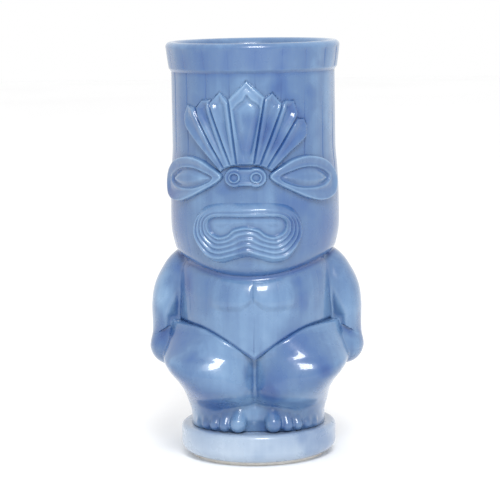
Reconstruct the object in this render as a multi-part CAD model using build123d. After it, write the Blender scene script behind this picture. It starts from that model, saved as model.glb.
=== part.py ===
from build123d import *
from math import cos, degrees, radians, sin
import os

# A ceramic tiki mug: a round cup whose wall is a carved figure standing on a plinth.
# +Z is up, the figure faces -Y, and the origin is the centre of the face it rests on.
# "left" and "right" are the figure's own, so left is +X.

# ---- Driving dimensions, mm ----
HEIGHT = 180.0
RIM_RADIUS = 37.4           # widest part of the flared lip
RIM_FOOT_RADIUS = 36.4      # lower edge of the rim band
RIM_FOOT_Z = 170.0
RIM_STEP_Z = 167.5          # where the band's chamfer meets the head
HEAD_RADIUS = 35.2          # plain staved wall above the brow
CAVITY_RADIUS = 30.5        # inside of the head and chest
HIP_CAVITY_RADIUS = 25.5    # inside of the cup at the thighs
ANKLE_CAVITY_RADIUS = 22.5  # inside of the cup at the ankles
HIP_WALL_RADIUS = 28.5      # outside of the sleeve that the legs are joined to
ANKLE_WALL_RADIUS = 25.5
CHEST_TAPER = (62.0, 66.0)  # where the inside narrows from the chest to the thighs
THIGH_TAPER = (30.0, 38.0)  # and from the thighs to the ankles
FLOOR_TOP = 18.0
CHIN_Z = 84.5               # joint between the head and the chest
WAIST_Z = 46.6              # crotch, the lowest point of the torso
PLINTH_RADIUS = 33.8
PLINTH_TOP = 14.0
PLINTH_EDGE = 4.8           # rounding of the plinth's lower edge
PLINTH_LIP = 2.2            # rounding of its upper edge
FOOT_RING_HEIGHT = 1.5
FOOT_RING_OUTER = 28.8
FOOT_RING_INNER = 24.5
RIM_MOUTH_RADIUS = 31.5     # inside of the lip, a little wider than the cup below it
BASE_RECESS_TOP = 6.0       # roof of the hollow under the plinth
LAP = 2.0                   # height of the stepped joints between wall pieces
JOINT_RADIUS = 33.0         # where the rim's stepped joint changes from inner to outer half
NECK_JOINT_RADIUS = 31.6
FLOOR_LAP = 1.0             # how far the floor's flange is let into the leg wall
STAVES = 20                 # vertical plank lines around the wall
STAVE_PHASE = 6.0           # degrees from the middle of the face to the first line
STAVE_WIDTH = 0.8
STAVE_DEPTH = 0.5
HEAD_STAVE_FOOT = 138.0     # the lines on the head stop above the brow
STAVE_MARGIN = 1.0          # bare strip at each end of the lines on the rim
FACE_TURN = -1.5            # degrees: the carved face and the body are turned a little apart
BODY_TURN = 2.0

# ---- Relief heights above the wall ----
FEATHER_RIB = 2.4
FEATHER_FLUTE = 1.2
FEATHER_RIB_WIDTH = 1.3
KNOT_RISE = 2.6
DISC_RISE = 3.2
LID_RISE = 2.2
EYE_RISE = 1.5
LIP_RISE = 2.6
MOUTH_FLOOR = 0.8
RIDGE_RISE = 2.2
RIDGES = 4
RIDGE_GAP = 0.06            # groove between two ridges, as a share of the lips' whole width
CHEST_RISE = 1.2

# ---- Side curves, (radius, height) from the bottom up ----
HEAD_SIDE = [
    (32.6, CHIN_Z), (33.9, 88.0), (35.2, 93.0), (36.3, 100.0), (36.4, 112.0),
    (36.0, 124.0), (HEAD_RADIUS, 136.0), (HEAD_RADIUS, RIM_STEP_Z),
]
TORSO_SIDE = [
    (33.2, WAIST_Z - 2), (33.8, 54.0), (34.1, 62.0), (34.2, 70.0), (33.9, 78.0), (32.6, CHIN_Z),
]
TORSO_RADIUS = 34.2
# The hip line on the figure's left, (distance from the middle, height), from the crotch outwards.
HIP_LINE = [(0.0, WAIST_Z), (3.6, 49.0), (12.8, 55.0), (21.0, 59.0), (28.4, 60.4), (36.0, 60.8)]

# ---- Limbs: level sections as (height, centre x, centre y, half width, half depth) ----
LEG_SECTIONS = [
    (PLINTH_TOP, 11.5, 1.0, 17.6, 23.0), (20.0, 11.5, 0.5, 17.8, 24.5), (27.0, 12.0, -0.4, 19.2, 29.5),
    (34.0, 12.6, -1.2, 20.8, 35.0), (41.0, 13.4, -1.2, 24.2, 36.0), (48.0, 11.8, -1.0, 27.8, 34.2),
    (56.0, 8.5, -0.5, 30.5, 34.0), (65.0, 5.5, 0.0, 31.5, 33.5),
]
LEG_SPLAY = 6.0             # degrees the legs are turned out
FOOT_SECTIONS = [
    (PLINTH_TOP, 12.5, -9.0, 16.5, 20.2), (18.0, 12.5, -9.0, 16.4, 20.0), (22.0, 12.2, -9.0, 15.8, 19.3),
    (25.5, 11.8, -8.8, 14.6, 18.2), (28.5, 11.4, -8.5, 12.4, 15.3), (31.0, 11.0, -8.0, 8.0, 10.0),
]
UPPER_ARM_SECTIONS = [
    (52.0, 36.0, 1.5, 9.0, 10.0), (61.0, 36.2, 1.2, 9.3, 11.5), (70.0, 35.9, 1.0, 9.5, 13.0),
    (78.0, 34.0, 1.2, 9.1, 12.5), (82.0, 32.2, 1.5, 8.7, 11.5), (86.0, 30.0, 1.8, 8.2, 10.0),
    (90.0, 28.0, 2.0, 6.0, 7.0),
]
WRIST_Z = 52.0
FOREARM_SECTIONS = [
    (WRIST_Z, 37.1, -3.0, 8.4, 9.6), (55.0, 36.4, -2.0, 8.8, 9.7), (60.0, 36.0, -1.0, 9.0, 9.8),
    (67.0, 36.0, 0.0, 9.0, 9.8),
]
ELBOW_SLOPE = 0.62          # the upper arm is cut off at a slant, lower on the outside
ELBOW_Z = 58.2              # height of that cut above the hand
HAND_CENTRE = (37.4, -3.5, 48.5)
HAND_HALF = (9.1, 10.5, 8.6)

# ---- Feet ----
FOOT_GAP = 0.8
TOE_FRONT = 31.6            # radius of the arc the toes reach to
BIG_TOE = (7.5, 4.0)        # distance from the middle, radius
SMALL_TOES = [(13.4, 2.4), (18.2, 2.2), (22.3, 2.0), (25.4, 1.8)]
TOE_LENGTH = 8.0
TOE_SETTING = 0.8           # height of a toe's middle above the plinth, as a share of its radius

CLEAR = 60.0                # larger than anything a cutter has to pass through
STAMP_START = 12.0          # relief is pushed out from inside the wall


# ---- Shared geometry ----
def turned(side):
    """Solid of revolution under a smooth side curve."""
    points = [(radius, 0, height) for radius, height in side]
    curve = Spline(*points)
    closing = Polyline(points[-1], (0, 0, points[-1][2]), (0, 0, points[0][2]), points[0])
    return revolve(make_face(curve + closing), Axis.Z)


def ring(inner, outer, bottom, top):
    """Upright tube between two heights."""
    height = top - bottom
    body = Cylinder(outer, height) - Cylinder(inner, height)
    return Pos(0, 0, (bottom + top) / 2) * body


def disc(radius, bottom, top):
    """Upright full cylinder between two heights."""
    return Pos(0, 0, (bottom + top) / 2) * Cylinder(radius, top - bottom)


def grown(side, rise):
    """The same side curve, standing out further from the axis."""
    return [(radius + rise, height) for radius, height in side]


def tangent_plane(azimuth):
    """Upright plane through the axis whose normal points out of the wall at this azimuth."""
    turn = radians(azimuth)
    return Plane(origin=(0, 0, 0), x_dir=(cos(turn), sin(turn), 0), z_dir=(sin(turn), -cos(turn), 0))


def flattened(points, azimuth, radius):
    """Points as (distance along the wall, height) brought on to the tangent plane."""
    centre = radians(azimuth)
    return [(radius * sin(along / radius - centre), height) for along, height in points]


def stamp(face, azimuth, turn):
    """The face pushed straight out through the wall at this azimuth."""
    plane = tangent_plane(azimuth + turn).offset(STAMP_START)
    return extrude(plane * face, amount=CLEAR, dir=plane.z_dir)


def mirrored(points):
    """The points of a left half as those of the right half, in running order."""
    return [(-along, height) for along, height in reversed(points)]


def both_sides(left_pieces, turn):
    """The named pieces and their mirror images, turned with the face or with the body."""
    pieces = {}
    for name, piece in left_pieces.items():
        pieces[f"left_{name}"] = Rot(0, 0, turn) * piece
        pieces[f"right_{name}"] = Rot(0, 0, turn) * mirror(piece, about=Plane.YZ)
    return pieces


def middle(points):
    """Azimuth in degrees of the middle of a stretch of the wall."""
    along = [point[0] for point in points]
    return degrees((min(along) + max(along)) / 2 / HEAD_RADIUS)


head_core = turned(HEAD_SIDE)
torso_core = turned(TORSO_SIDE)
rib_skin = turned(grown(HEAD_SIDE, FEATHER_RIB)) - head_core
flute_skin = turned(grown(HEAD_SIDE, FEATHER_FLUTE))


# ---- The cup ----
def stepped(chest, hip, ankle, bottom, top):
    """Solid of revolution with three widths, joined by the two tapers inside the wall."""
    outline = Polyline(
        (0, bottom), (ankle, bottom), (ankle, THIGH_TAPER[0]), (hip, THIGH_TAPER[1]),
        (hip, CHEST_TAPER[0]), (chest, CHEST_TAPER[1]), (chest, top), (0, top), (0, bottom),
    )
    return revolve(Plane.XZ * make_face(outline), Axis.Z)


def cavity():
    """The room for the drink."""
    return stepped(CAVITY_RADIUS, HIP_CAVITY_RADIUS, ANKLE_CAVITY_RADIUS, FLOOR_TOP, HEIGHT + 1)


def sleeve():
    """Outside of the leg wall, as a full solid."""
    full = stepped(HIP_WALL_RADIUS, HIP_WALL_RADIUS, ANKLE_WALL_RADIUS, PLINTH_TOP, HEIGHT)
    return full & disc(CLEAR, PLINTH_TOP, CHEST_TAPER[0])


def hip_wedge():
    """Everything above the two hip lines, which fall to the crotch in the middle."""
    outer = HIP_LINE[-1]
    closing = Polyline(outer, (CLEAR, outer[1]), (CLEAR, HEIGHT), (0, HEIGHT), HIP_LINE[0])
    half = extrude(Plane.XZ * make_face(Spline(*HIP_LINE) + closing), amount=CLEAR, both=True)
    return half + mirror(half, about=Plane.YZ)


def stave_lines(radius, bottom, top):
    """Cutters for the plank lines, all around the wall."""
    line = Box(STAVE_WIDTH, 2 * STAVE_DEPTH, top - bottom)
    lines = []
    for number in range(STAVES):
        turn = STAVE_PHASE + number * 360 / STAVES
        lines.append(Rot(0, 0, turn) * Pos(0, -radius, (bottom + top) / 2) * line)
    return lines


def rim_band():
    """Flared band with a rounded lip, let over a step on the head wall."""
    lip = (RIM_RADIUS - RIM_MOUTH_RADIUS) / 2
    shoulder = HEIGHT - lip
    outer = Polyline(
        (CAVITY_RADIUS, RIM_STEP_Z + LAP), (JOINT_RADIUS, RIM_STEP_Z + LAP), (JOINT_RADIUS, RIM_STEP_Z),
        (HEAD_RADIUS, RIM_STEP_Z), (RIM_FOOT_RADIUS, RIM_FOOT_Z), (RIM_RADIUS, shoulder),
    )
    lip_arc = ThreePointArc((RIM_RADIUS, shoulder), (RIM_RADIUS - lip, HEIGHT), (RIM_MOUTH_RADIUS, shoulder))
    inner = Polyline((RIM_MOUTH_RADIUS, shoulder), (CAVITY_RADIUS, RIM_STEP_Z + LAP))
    band = revolve(Plane.XZ * make_face(outer + lip_arc + inner), Axis.Z)
    return band - stave_lines(RIM_FOOT_RADIUS, RIM_FOOT_Z + STAVE_MARGIN, shoulder - STAVE_MARGIN)


def head_wall():
    """Plain round wall that carries the face, with a step at each end for its neighbours."""
    wall = head_core - cavity()
    wall += ring(CAVITY_RADIUS, JOINT_RADIUS, RIM_STEP_Z, RIM_STEP_Z + LAP)
    wall -= disc(NECK_JOINT_RADIUS, CHIN_Z, CHIN_Z + LAP)
    return wall - stave_lines(HEAD_RADIUS, HEAD_STAVE_FOOT, RIM_STEP_Z)


def torso_wall():
    """Chest and belly; it stands on the top of the leg wall and laps into the head."""
    hips = Rot(0, 0, BODY_TURN) * hip_wedge()
    wall = (torso_core & hips) - sleeve() - cavity()
    return wall + ring(CAVITY_RADIUS, NECK_JOINT_RADIUS, CHIN_Z, CHIN_Z + LAP)


def leg_wall():
    """Plain narrower sleeve inside the legs, rebated at the foot for the floor."""
    wall = sleeve() - cavity() - disc(ANKLE_CAVITY_RADIUS, 0, FLOOR_TOP)
    return wall - disc(ANKLE_CAVITY_RADIUS + FLOOR_LAP, 0, PLINTH_TOP + LAP)


def quarter_arc(centre_radius, centre_z, radius, start, end):
    """Arc of the plinth's outline, between two directions in degrees from straight out."""
    places = [
        (centre_radius + radius * cos(radians(turn)), 0, centre_z + radius * sin(radians(turn)))
        for turn in (start, (start + end) / 2, end)
    ]
    return ThreePointArc(*places)


def plinth():
    """Thick round puck with a well rounded lower edge, hollowed a little underneath."""
    bottom = FOOT_RING_HEIGHT
    lower = quarter_arc(PLINTH_RADIUS - PLINTH_EDGE, bottom + PLINTH_EDGE, PLINTH_EDGE, -90, 0)
    upper = quarter_arc(PLINTH_RADIUS - PLINTH_LIP, PLINTH_TOP - PLINTH_LIP, PLINTH_LIP, 0, 90)
    side = Line(lower @ 1, upper @ 0)
    closing = Polyline(upper @ 1, (0, 0, PLINTH_TOP), (0, 0, bottom), lower @ 0)
    body = revolve(make_face(lower + side + upper + closing), Axis.Z)
    return body - disc(FOOT_RING_INNER, 0, BASE_RECESS_TOP)


def cup_floor():
    """Bottom of the cup, with a flange let into the leg wall."""
    flange = disc(ANKLE_CAVITY_RADIUS + FLOOR_LAP, PLINTH_TOP, PLINTH_TOP + LAP)
    return flange + disc(ANKLE_CAVITY_RADIUS, PLINTH_TOP + LAP, FLOOR_TOP)


# ---- The headdress: feathers fanned out from the brow, (distance along the wall, height) ----
# Each blade is given as root, shoulder, tip, far shoulder and far root.
FEATHERS = {
    "centre_feather": [(-3.4, 129.8), (-6.3, 156.8), (0.9, 164.7), (8.0, 157.6), (3.3, 130.0)],
    "left_inner_feather": [(3.7, 129.8), (8.3, 157.2), (11.7, 159.6), (15.3, 154.8), (5.8, 129.6)],
    "left_middle_feather": [(6.2, 129.4), (15.8, 154.8), (19.2, 157.0), (22.4, 151.4), (8.6, 128.4)],
    "left_outer_feather": [(9.1, 128.2), (20.6, 146.6), (25.4, 148.8), (27.0, 142.0), (10.6, 127.0)],
    "right_inner_feather": [(-3.8, 129.8), (-6.7, 155.8), (-10.6, 160.3), (-15.0, 155.4), (-6.0, 129.6)],
    "right_middle_feather": [(-6.4, 129.4), (-15.2, 155.0), (-18.0, 157.2), (-22.4, 153.2), (-8.8, 128.4)],
    "right_outer_feather": [(-9.2, 128.3), (-22.6, 152.2), (-27.0, 154.6), (-28.4, 147.5), (-10.4, 127.2)],
}
TIP_BULGE = 0.5


def feather_face(points, azimuth):
    """Long tapering blade: straight sides and a pointed arch for a tip."""
    root, shoulder, tip, far_shoulder, far_root = flattened(points, azimuth, HEAD_RADIUS)
    sides = Line(root, shoulder) + Line(far_shoulder, far_root) + Line(far_root, root)
    bulge = TIP_BULGE if far_root[0] > root[0] else -TIP_BULGE
    arch = SagittaArc(shoulder, tip, bulge) + SagittaArc(tip, far_shoulder, bulge)
    return make_face(sides + arch)


def feather(points):
    """Blade with a raised rib all round and a shallow flute down the middle."""
    azimuth = middle(points)
    face = feather_face(points, azimuth)
    flute = offset(face, amount=-FEATHER_RIB_WIDTH, kind=Kind.INTERSECTION)
    blade = stamp(face, azimuth, FACE_TURN) & rib_skin
    return blade - (stamp(flute, azimuth, FACE_TURN) - flute_skin)


# ---- The brow knot: a pill with two dimpled discs let into it ----
KNOT_Z = 124.6
KNOT_HALF_WIDTH = 8.2
KNOT_HALF_HEIGHT = 4.1
DISC_SPACING = 8.6
DISC_RADIUS = 2.6
DIMPLE_RADIUS = 1.2


def brow_knot():
    """The knot and its two discs."""
    pieces = {}
    skin = turned(grown(HEAD_SIDE, KNOT_RISE)) - head_core
    disc_skin = turned(grown(HEAD_SIDE, DISC_RISE)) - head_core
    dimple_floor = turned(grown(HEAD_SIDE, DISC_RISE / 2))
    pill = Pos(0, KNOT_Z) * SlotOverall(2 * KNOT_HALF_WIDTH, 2 * KNOT_HALF_HEIGHT)
    knot = stamp(pill, 0, FACE_TURN) & skin
    for name, side in (("left", 1), ("right", -1)):
        spot = Pos(side * DISC_SPACING / 2, KNOT_Z)
        round_face = spot * Circle(DISC_RADIUS)
        boss = stamp(round_face, 0, FACE_TURN)
        dimple = stamp(spot * Circle(DIMPLE_RADIUS), 0, FACE_TURN) - dimple_floor
        knot -= boss
        pieces[f"{name}_knot_disc"] = (boss & disc_skin) - dimple
    pieces["brow_knot"] = knot
    return pieces


# ---- The eyes: an almond eyeball inside a wide raised lid ----
EYE_AZIMUTH = 46.0
LID_UPPER = [(10.1, 124.2), (17.0, 130.6), (26.5, 132.6), (37.0, 129.6), (46.0, 122.0)]
LID_LOWER = [(46.0, 122.0), (42.0, 115.5), (33.0, 113.4), (22.0, 116.6), (10.1, 124.2)]
EYE_UPPER = [(14.8, 123.6), (26.5, 127.4), (39.6, 122.6)]
EYE_LOWER = [(39.6, 122.6), (27.5, 119.4), (14.8, 123.6)]
EYE_MIDDLE = (27.2, 123.3)
EYEBALL_SHARE = 0.92        # size of the eyeball against the opening of the lid


def almond(upper, lower):
    """Eye shape between two curves that meet in its corners."""
    upper_curve = Spline(*flattened(upper, EYE_AZIMUTH, HEAD_RADIUS))
    lower_curve = Spline(*flattened(lower, EYE_AZIMUTH, HEAD_RADIUS))
    return make_face(upper_curve + lower_curve)


def shrunk(points):
    """Points drawn in towards the middle of the eye."""
    across, height = EYE_MIDDLE
    share = EYEBALL_SHARE
    return [(across + share * (x - across), height + share * (z - height)) for x, z in points]


def eyes():
    """A lid with an almond opening, and the eyeball inside it, on each side."""
    lid_skin = turned(grown(HEAD_SIDE, LID_RISE)) - head_core
    eye_skin = turned(grown(HEAD_SIDE, EYE_RISE)) - head_core
    lid_face = almond(LID_UPPER, LID_LOWER)
    socket_face = almond(EYE_UPPER, EYE_LOWER)
    eye_face = almond(shrunk(EYE_UPPER), shrunk(EYE_LOWER))
    lid = (stamp(lid_face, EYE_AZIMUTH, 0) - stamp(socket_face, EYE_AZIMUTH, 0)) & lid_skin
    eyeball = stamp(eye_face, EYE_AZIMUTH, 0) & eye_skin
    return both_sides({"eyelid": lid, "eyeball": eyeball}, FACE_TURN)


# ---- The mouth: two-lobed, an upper lip and ridges that follow the lower lobes ----
MOUTH_SPLIT_Z = 104.0
INNER_MOUTH = {"width": 15.5, "top": 108.4, "lobe": 10.0, "bottom": 99.2, "hump": 103.4}
OUTER_MOUTH = {"width": 23.0, "top": 113.8, "lobe": 12.5, "bottom": 88.8, "hump": 92.5}


def mouth_face(share):
    """The mouth's outline, from the opening (share 0) out to the edge of the lips (share 1)."""
    size = {key: INNER_MOUTH[key] + share * (OUTER_MOUTH[key] - INNER_MOUTH[key]) for key in INNER_MOUTH}
    drop = size["top"] - size["bottom"]
    width, top, bottom = size["width"], size["top"], size["bottom"]
    half = [
        (0.0, top), (0.6 * width, top), (0.93 * width, top - 0.12 * drop), (width, top - 0.45 * drop),
        (0.88 * width, bottom + 0.12 * drop), (size["lobe"], bottom),
        (0.3 * width, bottom + 0.7 * (size["hump"] - bottom)), (0.0, size["hump"]),
    ]
    points = flattened(half + mirrored(half)[1:-1], 0, HEAD_RADIUS)
    return make_face(Spline(*points, periodic=True))


def mouth():
    """The sunken panel, the upper lip, and the ridges side by side below it."""
    floor_skin = turned(grown(HEAD_SIDE, MOUTH_FLOOR)) - head_core
    lip_skin = turned(grown(HEAD_SIDE, LIP_RISE)) - head_core
    ridge_skin = turned(grown(HEAD_SIDE, RIDGE_RISE)) - head_core
    above = disc(CLEAR, MOUTH_SPLIT_Z, HEIGHT)
    opening = stamp(mouth_face(0), 0, FACE_TURN)
    outside = stamp(mouth_face(1), 0, FACE_TURN)
    pieces = {"mouth_panel": opening & floor_skin, "upper_lip": ((outside - opening) & above) & lip_skin}
    below = ridge_skin & disc(CLEAR, CHIN_Z, MOUTH_SPLIT_Z)
    for number in range(1, RIDGES + 1):
        inner = stamp(mouth_face((number - 1) / RIDGES), 0, FACE_TURN)
        outer = stamp(mouth_face(number / RIDGES - RIDGE_GAP), 0, FACE_TURN)
        pieces[f"mouth_ridge_{number}"] = (outer & below) - inner
    return pieces


# ---- Chest: two shallow plates that meet in the middle ----
CHEST_OUTLINE = [
    (0.4, 81.0), (0.4, 71.6), (4.5, 69.3), (9.5, 68.2), (15.5, 68.4), (20.0, 70.2), (21.5, 75.0),
    (20.0, 81.0),
]


def chest_plates():
    """The two plates, pushed out of the torso by a small rise."""
    skin = turned(grown(TORSO_SIDE, CHEST_RISE)) - torso_core
    points = flattened(CHEST_OUTLINE, 0, TORSO_RADIUS)
    curve = Spline(*points[1:])
    face = make_face(curve + Polyline(points[-1], points[0], points[1]))
    plate = stamp(face, 0, 0) & skin
    return both_sides({"chest_plate": plate}, BODY_TURN)


# ---- Limbs ----
def limb(sections, splay=0.0):
    """Smooth lobe through level elliptical sections, turned out by the splay in degrees."""
    faces = []
    for height, centre_x, centre_y, half_width, half_depth in sections:
        faces.append(Pos(centre_x, centre_y, height) * Rot(0, 0, splay) * Ellipse(half_width, half_depth))
    return loft(faces)


def left_side():
    """Everything on the figure's left, with a narrow gap along the middle."""
    return Pos(CLEAR / 2 + FOOT_GAP / 2, 0, CLEAR) * Box(CLEAR, 2 * CLEAR, 4 * CLEAR)


def below_slant(height, slope):
    """Everything under a plane that falls away to the figure's left."""
    outline = [(0, height), (CLEAR, height - slope * CLEAR), (CLEAR, -CLEAR), (0, -CLEAR), (0, height)]
    return extrude(Plane.XZ * make_face(Polyline(*outline)), amount=CLEAR, both=True)


def ellipsoid(centre, half_sizes):
    return Pos(*centre) * scale(Sphere(1), by=half_sizes)


def main_solid(shape):
    """The piece without the slivers that a cut can leave along its thin edges."""
    return shape.solids().sort_by(SortBy.VOLUME)[-1]


def arm(leg_lobe):
    """Upper arm, forearm and hand, each cut to fit the one above it and the body."""
    slant = below_slant(ELBOW_Z + ELBOW_SLOPE * HAND_CENTRE[0], ELBOW_SLOPE)
    thigh = leg_lobe - hip_wedge()
    upper = limb(UPPER_ARM_SECTIONS) - slant
    forearm = limb(FOREARM_SECTIONS) & slant
    hand = ellipsoid(HAND_CENTRE, HAND_HALF) & disc(CLEAR, 0, WRIST_Z)
    return [main_solid(piece - head_core - torso_core - thigh) for piece in (upper, forearm, hand - upper)]


def toe(distance, radius):
    """Short capsule lying on the plinth, pointing forwards."""
    front = -(TOE_FRONT ** 2 - distance ** 2) ** 0.5
    centre = (distance, front + TOE_LENGTH / 2, PLINTH_TOP + TOE_SETTING * radius)
    return ellipsoid(centre, (radius, TOE_LENGTH / 2, radius)) & disc(CLEAR, PLINTH_TOP, HEIGHT)


def limbs():
    """Arms, legs and feet of both sides; each toe is cut out of the foot behind it."""
    leg_lobe = limb(LEG_SECTIONS, LEG_SPLAY)
    foot_lobe = limb(FOOT_SECTIONS)
    leg = (leg_lobe & left_side()) - hip_wedge() - foot_lobe - sleeve()
    upper_arm, forearm, hand = arm(leg_lobe)
    pieces = {"upper_arm": upper_arm, "forearm": forearm, "hand": hand, "leg": leg}
    toes = toe(*BIG_TOE) - sleeve()
    pieces["big_toe"] = toes
    for number, (distance, radius) in enumerate(SMALL_TOES, start=2):
        small_toe = toe(distance, radius) - toes - leg - sleeve()
        pieces[f"toe_{number}"] = small_toe
        toes += small_toe
    pieces["foot"] = (foot_lobe & left_side()) - sleeve() - toes
    return both_sides(pieces, BODY_TURN)


parts = {
    "rim_band": rim_band(), "head_wall": head_wall(), "torso_wall": torso_wall(), "leg_wall": leg_wall(),
    "cup_floor": cup_floor(), "plinth": plinth(),
    "foot_ring": ring(FOOT_RING_INNER, FOOT_RING_OUTER, 0, FOOT_RING_HEIGHT),
}
for name, blade in FEATHERS.items():
    parts[name] = feather(blade)
for group in (brow_knot(), eyes(), mouth(), chest_plates(), limbs()):
    parts.update(group)

os.makedirs("parts", exist_ok=True)
for name, solid in parts.items():
    export_step(solid, f"parts/{name}.step")
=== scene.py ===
import math

import bpy
import numpy as np
from mathutils import Matrix, Vector


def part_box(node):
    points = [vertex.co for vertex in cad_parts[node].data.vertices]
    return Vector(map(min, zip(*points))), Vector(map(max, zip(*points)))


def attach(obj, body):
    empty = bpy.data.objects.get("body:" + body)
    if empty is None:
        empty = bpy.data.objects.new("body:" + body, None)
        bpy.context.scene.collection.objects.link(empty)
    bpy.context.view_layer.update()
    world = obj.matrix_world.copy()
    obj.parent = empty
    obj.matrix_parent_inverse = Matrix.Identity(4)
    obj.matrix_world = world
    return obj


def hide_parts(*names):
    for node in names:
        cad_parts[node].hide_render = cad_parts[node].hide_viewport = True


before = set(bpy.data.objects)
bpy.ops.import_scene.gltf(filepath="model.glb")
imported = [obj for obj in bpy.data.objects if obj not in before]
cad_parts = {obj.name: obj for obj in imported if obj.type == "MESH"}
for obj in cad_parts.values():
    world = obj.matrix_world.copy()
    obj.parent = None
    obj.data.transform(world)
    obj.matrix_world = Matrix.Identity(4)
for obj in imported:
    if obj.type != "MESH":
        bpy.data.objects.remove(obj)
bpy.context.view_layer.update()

# A blue-glazed ceramic tiki mug. Shapes are worked out in millimetres in the row frame: +Z up, the
# figure faces -Y, left is the figure's own left (+X). Every piece is a closed mesh of its own.

# ---- Measures taken from the frame, mm ----
MM = 0.001


def box(node):
    """Lowest and highest corner of a CAD node, in millimetres."""
    low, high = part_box(node)
    return np.array(low) / MM, np.array(high) / MM


head_low, head_high = box("head_wall")
rim_low, rim_high = box("rim_band")
sleeve_low, sleeve_high = box("leg_wall")
plinth_low, plinth_high = box("plinth")
ring_low, ring_high = box("foot_ring")
floor_low, floor_high = box("cup_floor")
knot_low, knot_high = box("brow_knot")

HEAD_MAX = head_high[0]  # widest radius of the head, at the cheeks
HEAD_FOOT = head_low[2]
HEAD_TOP = rim_low[2]
WALL_SHARE = 0.9638
WALL_R = WALL_SHARE * HEAD_MAX  # plain wall above the brow
KNOT_Z = (knot_low[2] + knot_high[2]) / 2
KNOT_OUT = HEAD_MAX + 1.5  # distance of the knot's middle from the axis
FACE_TURN = math.atan2((knot_low[0] + knot_high[0]) / 2, KNOT_OUT)
BODY_TURN = math.radians(2.0)  # the body is turned a little the other way
CAVITY_R = 0.8353 * HEAD_MAX
FINE = 1.0


# ---- Small maths ----
def smooth(value, start, end):
    """Soft step from 0 at start to 1 at end."""
    share = np.clip((value - start) / (end - start), 0.0, 1.0)
    return share * share * (3.0 - 2.0 * share)


def blend_min(first, second, reach):
    """Union of two fields with a fillet of about this reach."""
    mix = np.clip(0.5 + 0.5 * (second - first) / reach, 0.0, 1.0)
    return second + (first - second) * mix - reach * mix * (1.0 - mix)


def blend_max(first, second, reach):
    """Overlap of two fields, rounded where they meet."""
    return -blend_min(-first, -second, reach)


def from_front(angle):
    """The same angle brought between 0 and pi, whichever side it is on."""
    return np.abs(np.arctan2(np.sin(angle), np.cos(angle)))


def curve(table, value):
    """Smooth curve through (position, value) pairs, without overshoot."""
    spots = np.array([pair[0] for pair in table], float)
    heights = np.array([pair[1] for pair in table], float)
    steps = np.diff(heights) / np.diff(spots)
    slopes = np.concatenate(([steps[0]], (steps[:-1] + steps[1:]) / 2, [steps[-1]]))
    slopes[1:-1][steps[:-1] * steps[1:] <= 0] = 0.0
    value = np.clip(value, spots[0], spots[-1])
    span = np.clip(np.searchsorted(spots, value) - 1, 0, len(spots) - 2)
    width = spots[span + 1] - spots[span]
    share = (value - spots[span]) / width
    rest = 1.0 - share
    level = heights[span] * (1 + 2 * share) * rest**2 + heights[span + 1] * (3 - 2 * share) * share**2
    return level + width * share * rest * (slopes[span] * rest - slopes[span + 1] * share)


# ---- Glaze patches, darker or (negative) lighter: partly thicker and thinner glaze, partly painted shade and painted light ----
# The legs' patches paint shade on a shin and between the legs. The body's are all painted light, on the arms,
# a forearm and the chest. Each has a middle, a reach and a strength.
LEG_GLAZE_AND_SHADE = [
    ((10.0, -34.0, 38.0), 6.0, 0.7), ((9.0, -33.0, 29.0), 5.0, 0.5), ((-18.0, -29.0, 27.0), 10.0, 1.1),
    ((17.0, -29.0, 54.0), 7.0, 0.55), ((-26.0, -24.0, 54.0), 8.0, 0.3), ((24.0, -28.0, 46.0), 11.0, 0.4),
    ((22.0, -29.0, 47.0), 10.0, 0.2), ((0.0, -33.0, 18.0), 20.0, -0.3),
]
BODY_PAINTED_LIGHT = [
    ((0.0, -34.0, 68.0), 16.0, -0.18), ((-38.0, -9.0, 68.0), 10.0, -0.75), ((38.0, -9.0, 66.0), 7.0, -0.1),
    ((-41.0, -8.0, 50.0), 8.0, -0.4),
]
HEAD_GLAZE_AND_SHADE = [
    ((-33.0, -12.0, 100.0), 14.0, 0.6), ((31.0, -16.0, 100.0), 14.0, 0.45), ((-30.0, -20.0, 150.0), 9.0, 0.3),
    ((0.0, -36.0, 157.0), 13.0, -0.35), ((0.0, -36.0, 177.0), 30.0, 0.3),
]


def glaze_and_shade_patches(points):
    """How much darker the glaze colour is painted at each point, lighter below zero: thicker and thinner
    glaze, painted shade and painted light.
    """
    points = np.asarray(points, float)
    total = np.zeros(len(points))
    for middle, reach, strength in LEG_GLAZE_AND_SHADE + BODY_PAINTED_LIGHT + HEAD_GLAZE_AND_SHADE:
        away = np.linalg.norm(points - np.array(middle), axis=1)
        total += strength * np.exp(-((away / reach) ** 2))
    return total


# ---- Meshes ----
SHARP_ANGLE = math.radians(50)


def piece(name, points, faces, material, cad_nodes, glaze_and_shade=None):
    """One closed mesh object in metres, riding on the mug and standing in for its CAD nodes."""
    mesh = bpy.data.meshes.new(name)
    mesh.from_pydata((np.asarray(points) * MM).tolist(), [], faces)
    mesh.polygons.foreach_set("use_smooth", np.ones(len(mesh.polygons), bool))
    # Per-vertex darkening of the glaze colour: thicker glaze together with painted shade and painted light.
    values = glaze_and_shade_patches(points) + (0.0 if glaze_and_shade is None else np.asarray(glaze_and_shade))
    mesh.attributes.new("glaze_and_shade", "FLOAT", "POINT").data.foreach_set("value", values.astype(np.float32))
    mesh.materials.append(material)
    mesh.update()
    mesh.set_sharp_from_angle(angle=SHARP_ANGLE)
    thing = bpy.data.objects.new(name, mesh)
    bpy.context.scene.collection.objects.link(thing)
    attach(thing, "root")
    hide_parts(*cad_nodes)
    return thing


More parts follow.
